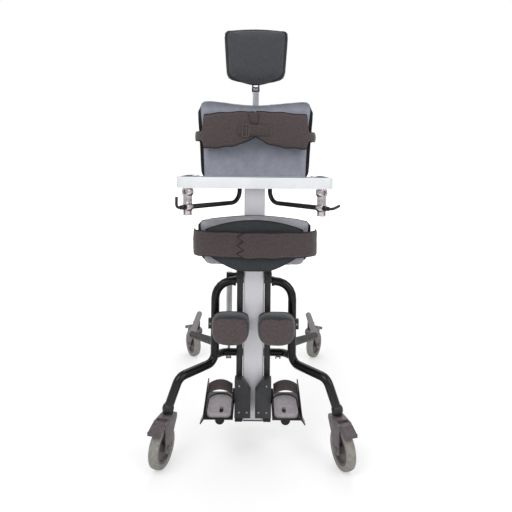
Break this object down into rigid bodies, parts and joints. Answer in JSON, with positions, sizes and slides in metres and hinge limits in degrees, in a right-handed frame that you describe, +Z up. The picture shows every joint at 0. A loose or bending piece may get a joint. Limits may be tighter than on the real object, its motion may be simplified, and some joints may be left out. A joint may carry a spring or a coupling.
{
  "type": "standing frame",
  "caption": "Tilting standing frame on braked castors, with padded head, chest, hip and knee supports, a tray, belts and strapped foot plates.",
  "frame": {"origin": "on the floor, under the middle of the overall box", "axes": "+Z up, -Y to the front where the user stands, X across"},
  "size_m": [0.687, 1.05, 1.4249],
  "materials": {
    "black_painted_steel": "gloss black powder coat",
    "silver_painted_steel": "satin silver-white powder coat",
    "bright_steel": "plain bright metal",
    "grey_nylon": "moulded grey nylon",
    "hub_nylon": "moulded grey nylon",
    "grey_tyre": "non-marking grey rubber",
    "black_plastic": "moulded black plastic, fine grain",
    "white_plastic": "white moulded plastic",
    "head_cover": "dark grey knitted cover",
    "chest_cover": "blue-grey coated cover",
    "hip_cover": "light grey coated cover",
    "belt_cloth": "brown-grey padded textile",
    "knee_cover": "brown-grey padded textile",
    "sole_rubber": "grey moulded rubber"
  },
  "bodies": {
    "base": {"side_frame_left": "black_painted_steel", "side_frame_right": "black_painted_steel", "hinge_bosses": "black_painted_steel", "rear_legs": "black_painted_steel", "cross_tube": "black_painted_steel", "castor_sockets": "black_plastic", "tube_caps": "grey_tyre"},
    "column": {"column": "silver_painted_steel", "column_caps": "black_plastic", "guide_rails": "black_painted_steel", "rail_brackets": "black_painted_steel", "tilt_axle": "bright_steel"},
    "gas_cylinder": {"gas_cylinder": "white_plastic"},
    "gas_rod": {"gas_rod": "bright_steel"},
    "head_post": {"head_post": "bright_steel"},
    "head_pad": {"head_shell": "black_plastic", "head_cushion": "head_cover"},
    "chest": {"chest_carriage": "black_plastic", "chest_shell": "black_plastic", "chest_cushion": "chest_cover", "chest_belt": "belt_cloth"},
    "hip": {"hip_carriage": "black_plastic", "hip_shell": "black_plastic", "hip_cushion": "hip_cover", "hip_belt": "belt_cloth"},
    "tray": {"tray_top": "white_plastic", "tray_arms": "black_painted_steel", "tray_clamps": "bright_steel"},
    "fork_front_left": {"fork_front_left": "grey_nylon"},
    "wheel_front_left": {"hub_front_left": "hub_nylon", "tyre_front_left": "grey_tyre"},
    "pedal_front_left": {"pedal_front_left": "black_plastic"},
    "fork_front_right": {"fork_front_right": "grey_nylon"},
    "wheel_front_right": {"hub_front_right": "hub_nylon", "tyre_front_right": "grey_tyre"},
    "pedal_front_right": {"pedal_front_right": "black_plastic"},
    "fork_rear_left": {"fork_rear_left": "grey_nylon"},
    "wheel_rear_left": {"hub_rear_left": "hub_nylon", "tyre_rear_left": "grey_tyre"},
    "pedal_rear_left": {"pedal_rear_left": "black_plastic"},
    "fork_rear_right": {"fork_rear_right": "grey_nylon"},
    "wheel_rear_right": {"hub_rear_right": "hub_nylon", "tyre_rear_right": "grey_tyre"},
    "pedal_rear_right": {"pedal_rear_right": "black_plastic"},
    "lever_left": {"tray_lever_left": "black_plastic"},
    "lever_right": {"tray_lever_right": "black_plastic"},
    "knee_left": {"knee_arm_left": "black_painted_steel", "knee_shell_left": "black_plastic", "knee_pad_left": "knee_cover"},
    "foot_bracket_left": {"foot_bracket_left": "black_plastic"},
    "foot_left": {"foot_plate_left": "black_painted_steel", "foot_sole_left": "sole_rubber", "foot_straps_left": "belt_cloth"},
    "knee_right": {"knee_arm_right": "black_painted_steel", "knee_shell_right": "black_plastic", "knee_pad_right": "knee_cover"},
    "foot_bracket_right": {"foot_bracket_right": "black_plastic"},
    "foot_right": {"foot_plate_right": "black_painted_steel", "foot_sole_right": "sole_rubber", "foot_straps_right": "belt_cloth"}
  },
  "joints": [
    {"name": "column_tilt", "type": "hinge", "parent": "base", "child": "column", "pos_m": [0, -0.2, 0.54], "axis": [-1, 0, 0], "range_deg": [0, 30]},
    {"name": "gas_rod_swing", "type": "hinge", "parent": "base", "child": "gas_rod", "pos_m": [-0.09, -0.14, 0.25], "axis": [-1, 0, 0], "range_deg": [-2, 2]},
    {"name": "gas_cylinder_slide", "type": "slide", "parent": "gas_rod", "child": "gas_cylinder", "axis": [0, 0.0067, 1], "range_m": [-0.04, 0.005]},
    {"name": "swivel_front_left", "type": "hinge", "parent": "base", "child": "fork_front_left", "pos_m": [-0.274, -0.334, 0.15], "axis": [0, 0, 1], "continuous": true},
    {"name": "spin_front_left", "type": "hinge", "parent": "fork_front_left", "child": "wheel_front_left", "pos_m": [-0.28569, -0.37225, 0.0625], "axis": [-0.9563, 0.2924, 0], "continuous": true},
    {"name": "brake_front_left", "type": "hinge", "parent": "fork_front_left", "child": "pedal_front_left", "pos_m": [-0.28803, -0.3799, 0.138], "axis": [0.9563, -0.2924, 0], "range_deg": [0, 15]},
    {"name": "swivel_front_right", "type": "hinge", "parent": "base", "child": "fork_front_right", "pos_m": [0.274, -0.334, 0.15], "axis": [0, 0, 1], "continuous": true},
    {"name": "spin_front_right", "type": "hinge", "parent": "fork_front_right", "child": "wheel_front_right", "pos_m": [0.28569, -0.37225, 0.0625], "axis": [-0.9563, -0.2924, 0], "continuous": true},
    {"name": "brake_front_right", "type": "hinge", "parent": "fork_front_right", "child": "pedal_front_right", "pos_m": [0.28803, -0.3799, 0.138], "axis": [0.9563, 0.2924, 0], "range_deg": [0, 15]},
    {"name": "swivel_rear_left", "type": "hinge", "parent": "base", "child": "fork_rear_left", "pos_m": [-0.278, 0.412, 0.15], "axis": [0, 0, 1], "continuous": true},
    {"name": "spin_rear_left", "type": "hinge", "parent": "fork_rear_left", "child": "wheel_rear_left", "pos_m": [-0.298, 0.44664, 0.0625], "axis": [0.866, 0.5, 0], "continuous": true},
    {"name": "brake_rear_left", "type": "hinge", "parent": "fork_rear_left", "child": "pedal_rear_left", "pos_m": [-0.302, 0.45357, 0.138], "axis": [-0.866, -0.5, 0], "range_deg": [0, 15]},
    {"name": "swivel_rear_right", "type": "hinge", "parent": "base", "child": "fork_rear_right", "pos_m": [0.278, 0.412, 0.15], "axis": [0, 0, 1], "continuous": true},
    {"name": "spin_rear_right", "type": "hinge", "parent": "fork_rear_right", "child": "wheel_rear_right", "pos_m": [0.298, 0.44664, 0.0625], "axis": [0.866, -0.5, 0], "continuous": true},
    {"name": "brake_rear_right", "type": "hinge", "parent": "fork_rear_right", "child": "pedal_rear_right", "pos_m": [0.302, 0.45357, 0.138], "axis": [-0.866, 0.5, 0], "range_deg": [0, 15]},
    {"name": "head_height", "type": "slide", "parent": "column", "child": "head_post", "axis": [0, 0, 1], "range_m": [-0.01, 0.06]},
    {"name": "head_tilt", "type": "hinge", "parent": "head_post", "child": "head_pad", "pos_m": [0, -0.208, 1.218], "axis": [1, 0, 0], "range_deg": [-15, 15]},
    {"name": "chest_height", "type": "slide", "parent": "column", "child": "chest", "axis": [0, 0, 1], "range_m": [-0.02, 0.02]},
    {"name": "hip_height", "type": "slide", "parent": "column", "child": "hip", "axis": [0, 0, 1], "range_m": [-0.03, 0.02]},
    {"name": "tray_height", "type": "slide", "parent": "column", "child": "tray", "axis": [0, 0, 1], "range_m": [0, 0.03]},
    {"name": "lever_left_turn", "type": "hinge", "parent": "tray", "child": "lever_left", "pos_m": [-0.221, -0.4, 0.82], "axis": [-0.6657, -0.7462, 0], "range_deg": [-60, 0]},
    {"name": "lever_right_turn", "type": "hinge", "parent": "tray", "child": "lever_right", "pos_m": [0.221, -0.4, 0.82], "axis": [0.6657, -0.7462, 0], "range_deg": [-60, 0]},
    {"name": "knee_left_height", "type": "slide", "parent": "column", "child": "knee_left", "axis": [0, 0, 1], "range_m": [-0.04, 0.04]},
    {"name": "foot_left_height", "type": "slide", "parent": "column", "child": "foot_bracket_left", "axis": [0, 0, 1], "range_m": [-0.03, 0.03]},
    {"name": "foot_left_tilt", "type": "hinge", "parent": "foot_bracket_left", "child": "foot_left", "pos_m": [-0.065, -0.25, 0.174], "axis": [1, 0, 0], "range_deg": [-10, 10]},
    {"name": "knee_right_height", "type": "slide", "parent": "column", "child": "knee_right", "axis": [0, 0, 1], "range_m": [-0.04, 0.04]},
    {"name": "foot_right_height", "type": "slide", "parent": "column", "child": "foot_bracket_right", "axis": [0, 0, 1], "range_m": [-0.03, 0.03]},
    {"name": "foot_right_tilt", "type": "hinge", "parent": "foot_bracket_right", "child": "foot_right", "pos_m": [0.065, -0.25, 0.174], "axis": [1, 0, 0], "range_deg": [-10, 10]}
  ],
  "couplings": [
    {"joint": "gas_rod_swing", "follows": "column_tilt", "ratio": -0.0193},
    {"joint": "gas_cylinder_slide", "follows": "column_tilt", "m_per_rad": -0.06125}
  ]
}
